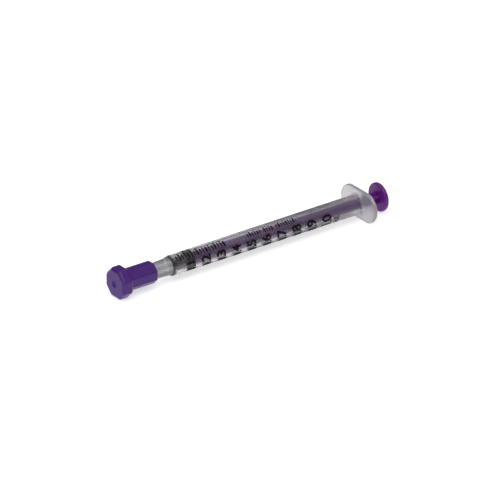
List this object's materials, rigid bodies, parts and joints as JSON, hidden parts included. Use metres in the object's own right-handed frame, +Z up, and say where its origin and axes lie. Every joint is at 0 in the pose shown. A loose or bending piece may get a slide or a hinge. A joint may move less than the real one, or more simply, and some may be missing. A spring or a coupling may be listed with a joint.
{
  "type": "oral syringe",
  "caption": "Small oral dosing syringe with a frosted printed barrel, oval finger flange, violet plunger with rubber stopper, and an octagonal push-on tip cap.",
  "frame": {"origin": "on the surface the syringe lies on, below the centre of its bounding box", "axes": "+X along the barrel from the tip cap to the thumb disc, +Y along the finger flange, +Z up"},
  "size_m": [0.1018, 0.0176, 0.0098],
  "materials": {
    "frosted_polypropylene": "translucent satin",
    "violet_plastic": "satin",
    "black_rubber": "matt, lightly siliconed"
  },
  "bodies": {
    "barrel_body": {"barrel": "frosted_polypropylene"},
    "stopper_body": {"stopper": "black_rubber"},
    "rod_body": {"plunger_rod": "violet_plastic"},
    "cap_body": {"tip_cap": "violet_plastic"}
  },
  "joints": [
    {"name": "plunger_slide", "type": "slide", "parent": "barrel_body", "child": "stopper_body", "axis": [1, 0, 0], "range_m": [0, 0.0615]},
    {"name": "plunger_spin", "type": "hinge", "parent": "stopper_body", "child": "rod_body", "pos_m": [-0.0216, 0, 0.0049], "axis": [1, 0, 0], "continuous": true},
    {"name": "cap_pull", "type": "slide", "parent": "barrel_body", "child": "cap_body", "axis": [-1, 0, 0], "range_m": [0, 0.012]}
  ]
}
